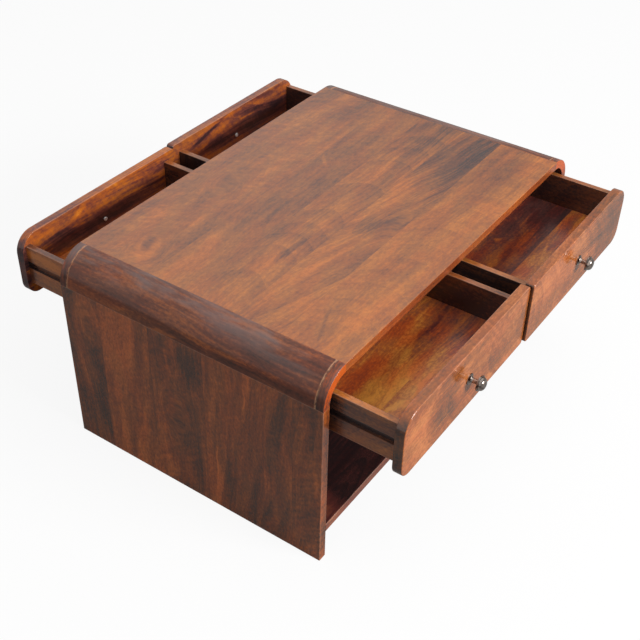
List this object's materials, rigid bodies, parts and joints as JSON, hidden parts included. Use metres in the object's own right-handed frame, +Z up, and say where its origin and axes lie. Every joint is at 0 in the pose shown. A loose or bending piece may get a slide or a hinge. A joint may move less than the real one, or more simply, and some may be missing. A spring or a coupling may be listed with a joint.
{
  "type": "coffee table",
  "caption": "Low wooden coffee table with rounded upper corners, drawers opening from both long sides on grooved wooden runners, turned metal knobs and an open through-shelf.",
  "frame": {"origin": "on the floor under the middle of the table, with the drawers standing open as shown", "axes": "+X along the table's length, +Y towards the rear drawers, +Z up"},
  "size_m": [0.9, 0.915, 0.418],
  "materials": {
    "top_wood": "satin lacquer over chestnut-stained glued boards",
    "corner_wood": "satin lacquer, dark grey-brown, worn light along the joints",
    "end_wood": "satin lacquer over dark upright staves",
    "shelf_wood": "satin lacquer over red-brown boards",
    "front_wood": "satin lacquer over red-brown boards",
    "drawer_wood": "thin lacquer over stained solid wood",
    "bottom_wood": "glossy amber lacquer",
    "frame_wood": "thin stain",
    "dowel_wood": "bare",
    "dark_metal": "polished dark gunmetal",
    "bright_steel": "bright plated"
  },
  "bodies": {
    "case": {"top_panel": "top_wood", "corner_block_left": "corner_wood", "corner_block_right": "corner_wood", "corner_cap_front_left": "corner_wood", "corner_cap_front_right": "corner_wood", "corner_cap_rear_left": "corner_wood", "corner_cap_rear_right": "corner_wood", "side_panel_left": "end_wood", "side_panel_right": "end_wood", "lower_shelf": "shelf_wood", "centre_spine": "frame_wood", "front_divider": "frame_wood", "rear_divider": "frame_wood", "corner_dowels": "dowel_wood", "cap_dowels": "dowel_wood", "shelf_dowels": "dowel_wood", "partition_dowels": "dowel_wood", "runner_screws": "bright_steel", "front_left_outer_runner": "frame_wood", "front_left_inner_runner": "frame_wood", "front_right_outer_runner": "frame_wood", "front_right_inner_runner": "frame_wood", "rear_left_outer_runner": "frame_wood", "rear_left_inner_runner": "frame_wood", "rear_right_outer_runner": "frame_wood", "rear_right_inner_runner": "frame_wood"},
    "front_left_drawer": {"front_left_drawer_front": "front_wood", "front_left_drawer_outer_side": "drawer_wood", "front_left_drawer_inner_side": "drawer_wood", "front_left_drawer_back": "drawer_wood", "front_left_drawer_bottom": "bottom_wood", "front_left_drawer_knob": "dark_metal", "front_left_drawer_knob_screw": "bright_steel", "front_left_drawer_pins": "bright_steel"},
    "front_right_drawer": {"front_right_drawer_front": "front_wood", "front_right_drawer_outer_side": "drawer_wood", "front_right_drawer_inner_side": "drawer_wood", "front_right_drawer_back": "drawer_wood", "front_right_drawer_bottom": "bottom_wood", "front_right_drawer_knob": "dark_metal", "front_right_drawer_knob_screw": "bright_steel", "front_right_drawer_pins": "bright_steel"},
    "rear_left_drawer": {"rear_left_drawer_front": "front_wood", "rear_left_drawer_outer_side": "drawer_wood", "rear_left_drawer_inner_side": "drawer_wood", "rear_left_drawer_back": "drawer_wood", "rear_left_drawer_bottom": "bottom_wood", "rear_left_drawer_knob": "dark_metal", "rear_left_drawer_knob_screw": "bright_steel", "rear_left_drawer_pins": "bright_steel"},
    "rear_right_drawer": {"rear_right_drawer_front": "front_wood", "rear_right_drawer_outer_side": "drawer_wood", "rear_right_drawer_inner_side": "drawer_wood", "rear_right_drawer_back": "drawer_wood", "rear_right_drawer_bottom": "bottom_wood", "rear_right_drawer_knob": "dark_metal", "rear_right_drawer_knob_screw": "bright_steel", "rear_right_drawer_pins": "bright_steel"}
  },
  "joints": [
    {"name": "front_left_slide", "type": "slide", "parent": "case", "child": "front_left_drawer", "axis": [0, -1, 0], "range_m": [-0.135, 0.055]},
    {"name": "front_right_slide", "type": "slide", "parent": "case", "child": "front_right_drawer", "axis": [0, -1, 0], "range_m": [-0.14, 0.05]},
    {"name": "rear_left_slide", "type": "slide", "parent": "case", "child": "rear_left_drawer", "axis": [0, 1, 0], "range_m": [-0.135, 0.055]},
    {"name": "rear_right_slide", "type": "slide", "parent": "case", "child": "rear_right_drawer", "axis": [0, 1, 0], "range_m": [-0.14, 0.05]}
  ]
}
